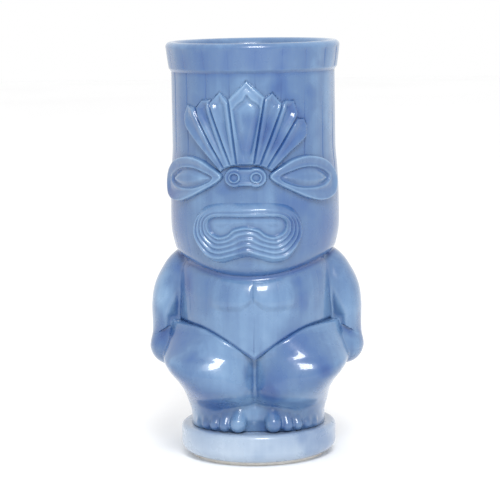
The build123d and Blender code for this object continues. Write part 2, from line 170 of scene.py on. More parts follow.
def surface_net(field, low, high, cell):
    """Closed quad mesh of a field's zero level: one vertex in each grid cell that the surface crosses."""
    cell = cell * FINE
    low = np.asarray(low, float) - 2 * cell
    counts = np.ceil((np.asarray(high, float) + 2 * cell - low) / cell).astype(int) + 1
    axes = [low[axis] + cell * np.arange(counts[axis]) for axis in range(3)]
    values = field(np.stack(np.meshgrid(*axes, indexing="ij"), -1))
    inside = values < 0
    total = np.zeros(tuple(counts - 1) + (3,))
    hits = np.zeros(tuple(counts - 1))
    edges = []
    for axis in range(3):
        order = (axis, (axis + 1) % 3, (axis + 2) % 3)
        field_here = values.transpose(order)
        inside_here = inside.transpose(order)
        crossed = inside_here[:-1] != inside_here[1:]
        gap = field_here[:-1] - field_here[1:]
        share = np.where(crossed, field_here[:-1] / np.where(gap == 0, 1.0, gap), 0.0)
        total_here = total.transpose(order + (3,))
        hits_here = hits.transpose(order)
        for u in (0, 1):
            for v in (0, 1):
                part = (slice(None), slice(u, u + counts[order[1]] - 1), slice(v, v + counts[order[2]] - 1))
                hits_here += crossed[part]
                total_here[..., axis] += share[part]
                total_here[..., order[1]] += u * crossed[part]
                total_here[..., order[2]] += v * crossed[part]
        edges.append((order, crossed, inside_here[:-1]))
    active = hits > 0
    number = np.full(hits.shape, -1)
    number[active] = np.arange(active.sum())
    spots = np.argwhere(active)
    points = low + cell * (spots + total[active] / hits[active][:, None])
    faces = []
    for order, crossed, inner in edges:
        cells = number.transpose(order)
        here = crossed[:, 1:-1, 1:-1]
        corners = (cells[:, :-1, :-1], cells[:, 1:, :-1], cells[:, 1:, 1:], cells[:, :-1, 1:])
        quads = np.stack([corner[here] for corner in corners], 1)
        turned = ~inner[:, 1:-1, 1:-1][here]
        quads[turned] = quads[turned][:, ::-1]
        faces.append(quads)
    return settle(points, field, cell), np.concatenate(faces).tolist()


def slope_of(field, points, probe):
    """Gradient of a field at the points, measured over a short probe each way."""
    rises = [field(points + probe * step) - field(points - probe * step) for step in np.eye(3)]
    return np.stack(rises, -1) / (2 * probe)


def settle(points, field, cell, rounds=3):
    """Moves the vertices on to the surface itself, no further than most of a cell."""
    start = points.copy()
    for _ in range(rounds):
        value = field(points)
        slope = slope_of(field, points, 0.05 * cell)
        move = slope * (value / np.maximum((slope**2).sum(-1), 0.05))[:, None]
        length = np.linalg.norm(move, axis=1, keepdims=True)
        points = points - move * np.minimum(1.0, 0.4 * cell / np.maximum(length, 1e-9))
    shift = points - start
    length = np.linalg.norm(shift, axis=1, keepdims=True)
    return start + shift * np.minimum(1.0, 0.7 * cell / np.maximum(length, 1e-9))


def grid_faces(rows, columns, closed_loop):
    """Quads between rows of points that run right round."""
    faces = []
    for row in range(rows if closed_loop else rows - 1):
        below, above = row * columns, (row + 1) % rows * columns
        for column in range(columns):
            beside = (column + 1) % columns
            faces.append((below + column, below + beside, above + beside, above + column))
    return faces


def turned(profile, columns, closed_loop):
    """Surface of revolution of (radius, height) points: a ring, or a solid whose ends meet the axis."""
    angles = np.linspace(0, 2 * math.pi, columns, endpoint=False)
    inner = profile if closed_loop else profile[1:-1]
    points = [
        (radius * math.sin(angle), -radius * math.cos(angle), height)
        for radius, height in inner
        for angle in angles
    ]
    faces = grid_faces(len(inner), columns, closed_loop)
    if not closed_loop:
        first, last = len(points), len(points) + 1
        points += [(0, 0, profile[0][1]), (0, 0, profile[-1][1])]
        top = (len(inner) - 1) * columns
        for column in range(columns):
            beside = (column + 1) % columns
            faces.append((first, beside, column))
            faces.append((last, top + column, top + beside))
    return np.array(points, float), faces


# ---- The wall of the head ----
# Radius of the cup's wall, as shares of its height and of its widest radius, from the chin up.
HEAD_CURVE = [
    (0.0, 0.857), (0.013, 0.885), (0.03, 0.915), (0.06, 0.945), (0.102, 0.964), (0.187, 0.994),
    (0.331, 0.997), (0.476, 0.986), (0.62, WALL_SHARE), (1.0, WALL_SHARE),
]
STAVES = 20  # planks around the wall
HEAD_STAVE_PHASE = math.radians(6.0)
TORSO_STAVE_PHASE = BODY_TURN
STAVE_DEPTH = 0.34
STAVE_HALF_WIDTH = 0.27
STAVE_BOW = 0.10  # how far a plank's edges lie below its middle
STAVE_EDGE = 0.85  # strip on each side of a line that gets a fine mesh


def chin_drop(angle):
    """How far the joint under the chin hangs below its mean height, lowest in front."""
    return 3.2 * np.cos(2 * angle) - 0.9


def head_radius(angle, height):
    """Outside of the head, whose curve follows the joint under the chin near its foot."""
    lowered = height + chin_drop(angle) * (1.0 - smooth(height, HEAD_FOOT + 1, HEAD_FOOT + 14))
    share = (lowered - HEAD_FOOT) / (HEAD_TOP - HEAD_FOOT)
    return HEAD_MAX * curve(HEAD_CURVE, share)


def stave_relief(angle, height, phase, radius, seed):
    """Plank lines cut into the wall, each a little wavy, between planks that are slightly rounded."""
    pitch = 2 * math.pi / STAVES
    number = np.round((angle - phase) / pitch)
    bend = 0.2 * np.sin(height / 9.0 + number * 2.3 + seed) + 0.1 * np.sin(height / 3.7 + number * 5.1)
    away = (angle - phase - number * pitch) * radius + bend
    strength = np.clip(0.5 + 0.6 * np.sin(number * 12.9 + height / 11.0 + seed), 0.12, 1.0)
    groove = -STAVE_DEPTH * strength * np.exp(-((away / STAVE_HALF_WIDTH) ** 2))
    bow = STAVE_BOW * (np.cos((angle - phase) * STAVES + math.pi) - 1.0) / 2
    return groove + bow


def wall_angles(phase, fine=0.17, coarse=0.55):
    """Column angles round a wall, close together at the plank lines."""
    radius, pitch = WALL_R, 2 * math.pi / STAVES
    near = np.arange(-STAVE_EDGE, STAVE_EDGE + 0.01, fine * FINE)
    plank = radius * pitch - 2 * STAVE_EDGE
    between = np.linspace(STAVE_EDGE, STAVE_EDGE + plank, int(plank / (coarse * FINE)) + 1)[1:-1]
    offsets = np.concatenate([near, between]) / radius
    return np.concatenate([phase + number * pitch + offsets for number in range(STAVES)])


# ---- The face: relief heights over (distance along the wall, height above the brow knot) ----
DRAWN_ON = 35.2  # radius of the wall that the outlines are given for
SCALE = WALL_R / DRAWN_ON


def rounded(points, steps=8):
    """Closed smooth outline through the points."""
    points = np.array(points, float)
    before, after, beyond = np.roll(points, 1, 0), np.roll(points, -1, 0), np.roll(points, -2, 0)
    share = np.linspace(0, 1, steps, endpoint=False)[None, :, None]
    here, before, after, beyond = (item[:, None, :] for item in (points, before, after, beyond))
    spline = 0.5 * (
        2 * here + (after - before) * share + (2 * before - 5 * here + 4 * after - beyond) * share**2
        + (3 * here - before - 3 * after + beyond) * share**3
    )
    return spline.reshape(-1, 2)


def looked_up(values, low, step):
    """Function that reads a grid of values between its points."""

    def value(across, up):
        first = np.clip((across - low[0]) / step, 0, values.shape[0] - 1.001)
        second = np.clip((up - low[1]) / step, 0, values.shape[1] - 1.001)
        column, row = first.astype(int), second.astype(int)
        first, second = first - column, second - row
        lower = values[column, row] * (1 - first) + values[column + 1, row] * first
        upper = values[column, row + 1] * (1 - first) + values[column + 1, row + 1] * first
        return lower * (1 - second) + upper * second

    return value


def inside_distance(outline, step=0.12, margin=3.5):
    """Function giving the distance inside an outline, negative outside, looked up on a fine grid."""
    outline = np.asarray(outline, float) * SCALE
    low = outline.min(0) - margin
    counts = np.ceil((outline.max(0) + margin - low) / step).astype(int) + 1
    axes = [low[axis] + step * np.arange(counts[axis]) for axis in (0, 1)]
    across, up = np.meshgrid(*axes, indexing="ij")
    nearest = np.full(across.shape, 1e9)
    crossings = np.zeros(across.shape, int)
    for start, end in zip(outline, np.roll(outline, -1, 0)):
        run = end - start
        share = ((across - start[0]) * run[0] + (up - start[1]) * run[1]) / max(run @ run, 1e-12)
        share = np.clip(share, 0, 1)
        gap = np.hypot(across - start[0] - share * run[0], up - start[1] - share * run[1])
        nearest = np.minimum(nearest, gap)
        spans = (start[1] > up) != (end[1] > up)
        if run[1] != 0:
            crossings += spans & (across < start[0] + (up - start[1]) * run[0] / run[1])
    return looked_up(np.where(crossings % 2 == 1, nearest, -nearest), low, step)


FACE_POOL_AND_SHADE = 0.75  # darkening of the glaze colour for each mm of hollow: thicker glaze, and painted shade in the hollows
BELOW = -0.9  # where a relief piece ends inside the wall

# Feathers, seen from the front: outline from the root up one side, over the tip and down the other.
FEATHERS = {
    "centre_feather": [(-3.4, 5.2), (-6.3, 32.2), (0.9, 40.1), (8.0, 33.0), (3.3, 5.4)],
    "left_inner_feather": [(3.6, 5.2), (8.2, 32.6), (11.7, 35.0), (15.4, 30.2), (5.8, 5.0)],
    "left_middle_feather": [(6.1, 4.8), (15.8, 30.2), (17.2, 31.7), (21.3, 31.4), (22.2, 25.8), (8.6, 3.8)],
    "left_outer_feather": [
        (9.0, 3.7), (20.3, 21.9), (22.3, 23.8), (26.0, 23.6), (27.5, 20.8), (26.6, 16.6), (19.0, 10.6),
        (10.6, 2.6),
    ],
    "right_inner_feather": [(-3.7, 5.2), (-6.6, 31.2), (-10.6, 35.7), (-15.0, 30.8), (-6.0, 5.0)],
    "right_middle_feather": [
        (-6.3, 4.8), (-15.2, 30.4), (-15.0, 32.2), (-19.3, 32.0), (-22.6, 28.6), (-8.8, 3.8),
    ],
    "right_outer_feather": [
        (-9.2, 3.7), (-22.6, 27.6), (-23.4, 28.4), (-28.0, 29.9), (-29.4, 25.6), (-27.0, 20.2), (-14.0, 6.4),
        (-10.4, 2.6),
    ],
}
RIB_RISE = 2.4
SIDE_RISE = 1.4  # height of a blade's side, up to the rounding of its rib
ROOT_SHARE = 0.72  # height of a blade at its root, against the rest of it
FLUTE_DROP = 1.25
OUTER_FLUTE_DROP = 0.6  # the outermost feathers are nearly flat
TIP_LEAN = 1.7  # how far the tips fall back towards the wall
TIP_LENGTH = 6.5


def blade_height(depth, across, up, tip):
    """Rounded rib along the edge of a blade that is lower at the root and leans back at the tip."""
    side = (SIDE_RISE - BELOW) * smooth(depth, -0.6, -0.25)
    blade = BELOW + side + (RIB_RISE - SIDE_RISE) * smooth(depth, -0.3, 0.55)
    lean = TIP_LEAN * smooth(np.hypot(across, up), tip - TIP_LENGTH, tip) * smooth(depth, -0.6, 0.0)
    return blade * (ROOT_SHARE + (1 - ROOT_SHARE) * smooth(up, 4.0, 14.0)) - lean


def tip_reach(outline):
    """Distance of a blade's tip from the knot."""
    return SCALE * max(math.hypot(*spot) for spot in outline)


def feather_height(distance, outline, flute_drop):
    """A blade with a rib all round and a flute down its middle."""
    tip = tip_reach(outline)

    def height(across, up):
        depth = distance(across, up)
        flute = flute_drop * smooth(depth, 0.7, 3.2) * smooth(up, 5.0, 12.0)
        return blade_height(depth, across, up, tip) - flute

    return height


def centre_height(distance, inner, outline):
    """The middle feather has a flat rim and a sunk arched panel of its own."""
    tip = tip_reach(outline)

    def height(across, up):
        depth, sunk = distance(across, up), inner(across, up)
        hollow = 0.5 * smooth(depth, 0.7, 2.0) + 0.8 * smooth(sunk, -0.6, 0.5)
        hollow = hollow - 0.5 * smooth(sunk, 0.5, 2.8)
        hollow = hollow + 0.8 * smooth(up, 24.0, 32.0) * smooth(sunk, 0.0, 1.5)
        return blade_height(depth, across, up, tip) - hollow * smooth(up, 5.0, 12.0)

    return height


CENTRE_PANEL = [
    (-0.9, 8.0), (-4.3, 26.0), (-4.2, 28.4), (-2.6, 30.4), (-0.6, 31.9), (0.9, 34.2), (2.5, 32.2),
    (4.6, 30.8), (6.1, 28.8), (6.0, 26.6), (1.6, 8.0),
]
centre_panel = inside_distance(rounded(CENTRE_PANEL))

# The brow knot: two round lobes and the bridge between them.
KNOT_SPACING = 4.3  # from the middle of the knot to each lobe's
KNOT_LOBE = (4.5, 4.4)  # half width and half height of a lobe
KNOT_BRIDGE = (4.5, 3.9)
KNOT_RISE = 2.3
DISC_RISE = 1.95
RING_RADIUS = 1.95  # of the raised ring on a disc
DISC_EDGE = 2.5


def knot_lobe(side):
    """Round outline of one lobe."""
    half_width, half_height = KNOT_LOBE
    turns = (np.arange(8) + 0.5) * math.pi / 4
    return rounded([
        (side * KNOT_SPACING + half_width * math.cos(turn), half_height * math.sin(turn)) for turn in turns
    ])


SQUARE = ((-1, -1), (1, -1), (1, 1), (-1, 1))
knot_bridge = [(right * KNOT_BRIDGE[0], up * KNOT_BRIDGE[1]) for right, up in SQUARE]
knot_lobes = [knot_lobe(side) for side in (-1, 1)]
knot_distances = [inside_distance(outline) for outline in (*knot_lobes, knot_bridge)]


def knot_height(across, up):
    """The knot's rounded rim, with a slight hollow inside it."""
    depth = np.maximum.reduce([distance(across, up) for distance in knot_distances])
    return (KNOT_RISE - BELOW) * smooth(depth, -0.6, 1.0) + BELOW - 0.35 * smooth(depth, 1.2, 2.6)


def disc_height(side):
    """Raised ring with a dimple and a small bead in it."""

    def height(across, up):
        away = np.hypot(across - side * KNOT_SPACING * SCALE, up)
        ring = 0.95 * np.exp(-(((away - RING_RADIUS) / 0.55) ** 2))
        bead = 0.75 * np.exp(-((away / 0.6) ** 2))
        dimple = 0.9 * (1 - smooth(away, 0.4, 1.5))
        return DISC_RISE + ring + bead - dimple - 3.6 * smooth(away, DISC_EDGE, DISC_EDGE + 0.6)

    return height


# The left eye: outline of the lid and of the opening in it.
LID = [
    (9.6, -0.3), (16.0, 5.2), (22.0, 7.7), (28.5, 8.1), (36.5, 6.2), (43.0, 1.6), (45.6, -3.6), (43.6, -8.8),
    (37.5, -11.2), (30.0, -10.9), (20.5, -7.2),
]
EYE = [
    (14.4, -0.7), (19.0, 1.6), (25.0, 2.9), (32.0, 2.3), (38.2, -0.6), (39.2, -2.6), (35.0, -4.5),
    (28.0, -5.0), (20.5, -3.9),
]
LID_RISE = 2.2
EYE_LEVEL = 0.35  # edge of the eyeball above the wall
EYE_SWELL = 1.15  # and its middle above its edge


def mirrored(outline):
    """The outline on the other side of the face, in running order."""
    return [(-across, up) for across, up in reversed(outline)]


def lid_height(lid, eye):
    """A wide lid that slopes in from its outer edge to a low bead around the eye."""

    def height(across, up):
        depth, sunk = lid(across, up), eye(across, up)
        swell = (LID_RISE - BELOW) * smooth(depth, -0.6, 0.6) + BELOW
        bead = 0.25 * smooth(sunk, -2.0, -0.9)
        return swell - 1.1 * smooth(depth, 0.6, 4.2) - 1.0 * smooth(sunk, -0.8, 0.05) + bead

    return height


def eyeball_height(eye):
    """An almond that swells towards its middle."""

    def height(across, up):
        sunk = eye(across, up)
        return EYE_LEVEL + EYE_SWELL * smooth(sunk, 0.0, 2.8) - 3.0 * smooth(-sunk, -0.05, 0.5)

    return height


# The mouth: the opening and the outer edge of the lips, both two-lobed below.
# Only the left half is given, from the top down.
OPENING = [
    (0.0, -16.2), (9.0, -16.2), (13.8, -16.9), (15.9, -19.6), (15.2, -23.0), (11.6, -25.2), (7.8, -24.4),
    (4.6, -21.9), (0.0, -20.9),
]
LIPS = [
    (0.0, -11.0), (11.0, -11.2), (18.4, -13.2), (22.3, -18.0), (23.2, -24.5), (20.6, -31.0), (16.6, -35.0),
    (11.0, -35.9), (5.6, -34.4), (0.0, -33.2),
]
MUZZLE_RISE = 2.5
RIDGE_HEIGHT = 0.3
MOUTH_DEPTH = 1.5
MAP_MARGIN = 14  # how far outside the outlines the lips are worked out
RIDGES = 5
LIP_SHELF = 1.6  # how much further the lower lip stands out at its outer edge


def both_sides(half):
    """Whole outline from its left half."""
    return rounded(half + mirrored(half)[1:-1])


opening_distance = inside_distance(both_sides(OPENING), margin=MAP_MARGIN)
lips_distance = inside_distance(both_sides(LIPS), margin=MAP_MARGIN)


def lip_share(across, up):
    """0 at the edge of the opening, 1 at the outer edge of the lips."""
    outward, inward = -opening_distance(across, up), lips_distance(across, up)
    return outward / np.maximum(outward + inward, 0.3)


def mouth_height(across, up):
    """Swollen lips with a bead round the opening; below, ridges and a shelf that stands out further."""
    edge, hole, share = lips_distance(across, up), opening_distance(across, up), lip_share(across, up)
    lower = smooth(-up, 13.5, 19.0)
    swell = smooth(edge, -1.6, 1.7) * lower + smooth(edge, -2.0, 3.2) * (1 - lower)
    muzzle = (MUZZLE_RISE - BELOW) * swell + BELOW
    ridge = RIDGE_HEIGHT * np.cos(2 * math.pi * RIDGES * share) * lower
    groove = 0.2 * np.exp(-(((hole + 1.75) / 0.5) ** 2)) * (1 - lower)
    bead = 0.35 * np.exp(-(((hole + 0.75) / 0.42) ** 2)) - groove
    shelf = (LIP_SHELF * share - LIP_SHELF / 2) * smooth(-up, 17.0, 26.0) * smooth(edge, -0.6, 1.6)
    ridges = np.where(share > 0.05, ridge, RIDGE_HEIGHT * lower) * smooth(edge, 0.4, 1.6)
    lips = muzzle + ridges + bead + shelf
    return lips - MOUTH_DEPTH * smooth(hole, -0.35, 0.75) + 0.35 * smooth(hole, 0.8, 3.2)


feather_maps = {name: inside_distance(outline) for name, outline in FEATHERS.items()}
reliefs = {}
for name, outline in FEATHERS.items():
    drop = OUTER_FLUTE_DROP if "outer" in name else FLUTE_DROP
    reliefs[name] = feather_height(feather_maps[name], outline, drop)
middle_map, middle_outline = feather_maps["centre_feather"], FEATHERS["centre_feather"]
reliefs["centre_feather"] = centre_height(middle_map, centre_panel, middle_outline)
reliefs["brow_knot"] = knot_height
for name, side in (("left", 1), ("right", -1)):
    reliefs[f"{name}_knot_disc"] = disc_height(side)
    outlines = [rounded(outline if side > 0 else mirrored(outline)) for outline in (LID, EYE)]
    lid_map, eye_map = (inside_distance(outline) for outline in outlines)
    reliefs[f"{name}_eyelid"] = lid_height(lid_map, eye_map)
    reliefs[f"{name}_eyeball"] = eyeball_height(eye_map)


def hollow_map(step=0.15, reach=6):
    """Function giving how far each spot of the finished face lies below its surroundings."""
    low, high = np.array([-52.0, -44.0]), np.array([52.0, 46.0])
    axes = [np.arange(low[axis], high[axis], step) for axis in (0, 1)]
    across, up = np.meshgrid(*axes, indexing="ij")
    height = np.maximum.reduce([relief(across, up) for relief in reliefs.values()])
    height = np.maximum(np.maximum(height, mouth_height(across, up)), 0.0)
    around = np.zeros_like(height)
    for turn in np.arange(12) * math.pi / 6:
        shift = [round(reach * part) for part in (math.cos(turn), math.sin(turn))]
        around += np.roll(height, shift, (0, 1)) / 12
    return looked_up(around - height, low, step)


def on_wall(points):
    """From (along the wall, above the knot, out of the wall) to the row frame."""
    angle = points[:, 0] / WALL_R + FACE_TURN
    height = points[:, 1] + KNOT_Z
    radius = head_radius(angle, height) + points[:, 2]
    return np.stack([radius * np.sin(angle), -radius * np.cos(angle), height], 1)


face_pool_and_shade = hollow_map()


RELIEF_ROOM = 4.0  # more than any relief rises above the wall


def relief_piece(name, height, low, high, cell, material, zone=None, overlap=0.25):
    """A piece of the face as a closed shell that sits a little way into the wall."""

    def field(points):
        across, up, out = points[..., 0], points[..., 1], points[..., 2]
        body = (out - height(across, up)) * 0.7
        if zone is not None:
            outside = zone(across, up)
            body = np.maximum(body + 0.5 * np.maximum(outside, 0.0), outside - overlap)
        return np.maximum(body, BELOW + 0.25 - out)

    points, faces = surface_net(field, (*low, BELOW), (*high, RELIEF_ROOM), cell)
    # Painted shade with thicker glaze: the face darkens in its hollows.
    glaze_and_shade = face_pool_and_shade(points[:, 0], points[:, 1]) * FACE_POOL_AND_SHADE
    return piece(name, on_wall(points), faces, material, [name], glaze_and_shade)


def outline_box(outline, margin=1.2):
    """Corners of the rectangle around an outline, with some room."""
    outline = np.asarray(outline, float) * SCALE
    return outline.min(0) - margin, outline.max(0) + margin


# ---- The body: fields over the row frame, for the figure's left side ----
# Radius of the torso at each height, from the crotch to the joint under the chin.
TORSO_CURVE = [
    (44.0, 33.4), (54.0, 33.8), (66.0, 34.2), (72.0, 34.2), (76.5, 33.8), (79.6, 33.2), (81.4, 32.4),
    (82.6, 31.5), (83.4, 31.1), (84.5, 31.1),
]
# Height of the hip line at each angle from the front, in degrees.
HIP_LINE = [
    (0, 46.6), (6, 49.0), (22, 55.0), (38, 59.0), (56, 60.3), (90, 60.5), (125, 60.0), (150, 57.5),
    (168, 52.5), (180, 50.0),
]
# Level sections: height, then middle across, middle front to back, half width, half depth.
LEG = [
    (12, 11.5, 1.0, 17.6, 23.0), (20, 11.5, 0.5, 17.7, 24.0), (24, 11.8, 0.2, 18.5, 25.7),
    (26.5, 11.9, -0.2, 19.0, 28.4), (29, 12.0, -0.6, 19.4, 32.0), (31.5, 12.2, -1.0, 19.8, 34.4),
    (34, 12.4, -1.2, 20.6, 35.9), (37, 12.8, -1.2, 21.8, 36.6), (39.5, 13.1, -1.2, 23.0, 36.8),
    (42.5, 13.1, -1.1, 24.7, 36.2), (45.2, 12.6, -1.0, 26.4, 35.0), (48, 11.3, -0.8, 28.0, 33.4),
    (51.5, 8.6, -0.6, 30.4, 32.5), (57, 4.5, -0.2, 34.0, 32.0), (66, 1.5, 0.0, 35.3, 31.4),
]
COARSE_CELL = 0.5  # mesh cells of the large limbs
FINE_CELL = 0.3  # and of those narrower than this:
SMALL_LIMB = 15
SPLAY_START = 6.0  # the splay sets in this far in front of the middle
# By height: how far a leg's front and back are turned outwards.
LEG_SPLAY = [(12, 0.0), (25, 0.02), (34, 0.1), (45, 0.25), (51, 0.14), (57, 0.0)]
LEG_BLUNTNESS = [(40, 2.4), (56, 2.05)]  # power of the level sections: 2 is an ellipse
FOOT_REACH = 28.5  # radius that the feet are trimmed to, inside the toes
FOOT_BLUNTNESS = 3.6
FOOT = [
    (12, 11.5, -9.0, 17.5, 16.3), (17, 11.5, -9.0, 17.5, 16.8), (20, 11.5, -9.0, 17.3, 17.6),
    (22, 11.5, -9.0, 17.0, 17.5), (25.5, 11.4, -8.8, 16.0, 16.7), (28.5, 11.2, -8.5, 14.0, 14.4),
    (31.5, 11.0, -8.0, 9.5, 9.5),
]
UPPER_ARM = [
    (52, 36.4, 0.5, 9.0, 13.0), (61, 36.4, 0.3, 9.2, 13.3), (66, 36.2, 0.5, 9.5, 13.3),
    (70, 35.9, 0.8, 9.5, 13.2), (74, 35.2, 1.0, 9.4, 13.0), (78, 34.0, 1.2, 9.1, 12.5),
    (82, 32.2, 1.5, 8.7, 11.5), (86, 30.0, 1.8, 8.2, 10.0), (89, 28.0, 2.0, 7.0, 8.0),
    (92, 26.0, 2.0, 4.0, 5.0),
]
UPPER_ARM_BLUNTNESS = 2.1
ELBOW = (33.5, 60.6)  # a spot on the upper arm's slanting end, across and up
ELBOW_SLOPE = 0.62
# Each arm has a flat in front that faces inwards, and leans back and fades out higher up.
ARM_FLAT = (39.5, -12.7)  # a spot on it, across and front to back
ARM_FLAT_TURN = math.radians(30)  # how far it faces in from straight ahead
ARM_FLAT_LEAN = 0.25
ARM_FLAT_START = 62.0  # height where it starts to lean back
FOREARM = [
    (48, 37.2, -3.5, 8.6, 9.6), (52, 36.8, -2.5, 8.7, 9.6), (58, 36.0, -1.0, 9.0, 9.6),
    (66, 36.0, 0.0, 9.0, 9.6),
]
HAND_CENTRE = np.array([37.4, -3.5, 48.5])
HAND_HALF = np.array([9.1, 10.5, 8.6])
# Toes: upper end, lower end and radius.
BIG_TOE = ((6.9, -23.0, 22.6), (7.6, -26.8, 17.8), 3.7)
SMALL_TOES = [
    ((12.2, -22.9, 21.6), (13.2, -25.5, 17.0), 2.65), ((16.4, -20.9, 21.0), (17.5, -23.1, 16.8), 2.4),
    ((20.0, -17.9, 20.4), (21.3, -19.9, 16.6), 2.2), ((22.8, -14.4, 19.8), (24.2, -16.2, 16.4), 2.0),
]
FILLET = 1.1  # where one limb meets another
WALL_FILLET = 1.3 * FILLET  # where the arms meet the wall
CREASE = 1.0  # rounding of the thighs' upper edge
FLATTER = 0.85  # makes a scaled field about as steep as a distance
SLEEVE_R = sleeve_high[0] - 0.7
ANKLE_STEP = 4.0  # how much narrower the sleeve is at the ankles
ANKLE_TAPER = (30.0, 38.0)
PLINTH_Z = plinth_high[2]


def sleeve_radius(height):
    """Outside of the plain wall behind the legs."""
    low, high = ANKLE_TAPER
    return SLEEVE_R - ANKLE_STEP * np.clip((high - height) / (high - low), 0, 1)


def sections(table, points, power=2.0, splay=0.0):
    """Field of a limb given by level sections, with flat ends."""
    across, deep, height = points[..., 0], points[..., 1], points[..., 2]
    columns = [[(row[0], row[item]) for row in table] for item in (1, 2, 3, 4)]
    middle, centre, half, depth = (curve(column, height) for column in columns)
    middle = middle + splay * (np.hypot(deep - centre, SPLAY_START) - SPLAY_START)
    sideways, forwards = np.abs((across - middle) / half), np.abs((deep - centre) / depth)
    share = (sideways**power + forwards**power) ** (1 / power)
    side = (share - 1.0) * np.minimum(half, depth) * FLATTER
    return np.maximum(side, np.maximum(table[0][0] - height, height - table[-1][0]))


def capsule(points, start, end, radius):
    """Distance from a rod with round ends."""
    start, end = np.array(start), np.array(end)
    run = end - start
    share = np.clip(((points - start) @ run) / (run @ run), 0, 1)
    return np.linalg.norm(points - start - share[..., None] * run, axis=-1) - radius


def wall_radius(angle, height):
    """Outside of the plain wall, head above the chin line and torso below it."""
    lowered = height + chin_drop(angle) * smooth(height, 64, 80)
    torso = curve(TORSO_CURVE, lowered)
    return np.where(height + chin_drop(angle) > HEAD_FOOT, head_radius(angle, height), torso)


def hip_line(angle):
    """Height of the line between the torso and the thighs."""
    return curve(HIP_LINE, np.degrees(from_front(angle)))


def angle_of(points):
    """Angle around the axis, from straight in front towards +X."""
    return np.arctan2(points[..., 0], -points[..., 1])


def wall_field(points):
    return np.hypot(points[..., 0], points[..., 1]) - wall_radius(angle_of(points), points[..., 2])


def leg_field(points):
    """Thigh, knee and shin in one lobe, ending at the hip line."""
    splay = curve(LEG_SPLAY, points[..., 2])
    below_hip = points[..., 2] - hip_line(angle_of(points))
    bluntness = curve(LEG_BLUNTNESS, points[..., 2])
    return blend_max(sections(LEG, points, bluntness, splay), below_hip * 0.8, CREASE)


def foot_field(points):
    """Blunt foot, trimmed round in front where the toes stand out."""
    trimmed = np.hypot(points[..., 0], points[..., 1]) - FOOT_REACH
    return blend_max(sections(FOOT, points, FOOT_BLUNTNESS), trimmed, 1.5)


def upper_arm_field(points):
    """The sleeve-like upper arm, cut off at a slant above the thigh."""
    across, deep, height = points[..., 0], points[..., 1], points[..., 2]
    cut = (ELBOW[1] - ELBOW_SLOPE * (across - ELBOW[0]) - height) * FLATTER
    inwards = math.sin(ARM_FLAT_TURN) * (ARM_FLAT[0] - across)
    forwards = math.cos(ARM_FLAT_TURN) * (ARM_FLAT[1] - deep)
    flat = inwards + forwards - ARM_FLAT_LEAN * np.maximum(height - ARM_FLAT_START, 0.0)
    return blend_max(blend_max(sections(UPPER_ARM, points, UPPER_ARM_BLUNTNESS), flat, 0.9), cut, 0.4)


def forearm_field(points):
    return sections(FOREARM, points)


def hand_field(points):
    return (np.linalg.norm((points - HAND_CENTRE) / HAND_HALF, axis=-1) - 1.0) * HAND_HALF.min()


def toe_field(toe):
    return lambda points: capsule(points, *toe)


def other_side(field):
    return lambda points: field(points * np.array([-1.0, 1.0, 1.0]))


limbs = {
    "upper_arm": upper_arm_field, "forearm": forearm_field, "hand": hand_field, "leg": leg_field,
    "foot": foot_field, "big_toe": toe_field(BIG_TOE),
}
for number, toe in enumerate(SMALL_TOES, start=2):
    limbs[f"toe_{number}"] = toe_field(toe)
ARMS = ("upper_arm", "forearm", "hand")
# Corners of the box that each left limb keeps to.
reach_boxes = {
    "upper_arm": ((25, -14, 55), (48, 17, 94)), "forearm": ((27, -15, 44), (48, 12, 66)),
    "hand": ((27, -16, 38), (48, 9, 58)), "leg": ((-1, -39, 12), (41, 36, 62)),
    "foot": ((-1, -33, 12), (30, 4, 31)),
    "big_toe": ((2.5, -33, 13), (12.5, -17.5, 27.5)), "toe_2": ((8.5, -32, 13), (17, -18, 25)),
    "toe_3": ((13, -30, 13), (21.5, -15.5, 24.5)), "toe_4": ((17, -27.5, 13), (25, -12.5, 24)),
    "toe_5": ((20, -24, 13), (28.5, -9.5, 23)),
}


def neighbours(name):
    """Fields of the limbs that can reach this one, with the other side's leg and foot."""
    low, high = np.array(reach_boxes[name], float)
    fields = []
    for other, (other_low, other_high) in reach_boxes.items():
        touching = np.all(np.array(other_low) < high + 2) and np.all(np.array(other_high) > low - 2)
        if other != name and touching:
            fields.append(limbs[other])
    if name in ("leg", "foot"):
        fields += [other_side(limbs[item]) for item in ("leg", "foot")]
    return fields


def hollowness(field, points, out=2.0):
    """How much a field a little way out falls short of that distance, as it does in a hollow."""
    slope = slope_of(field, points, 0.05)
    length = np.maximum(np.linalg.norm(slope, axis=1), 0.2)
    return np.clip(1.0 - field(points + slope / length[:, None] * out) / (out * length), -0.2, 1.0)


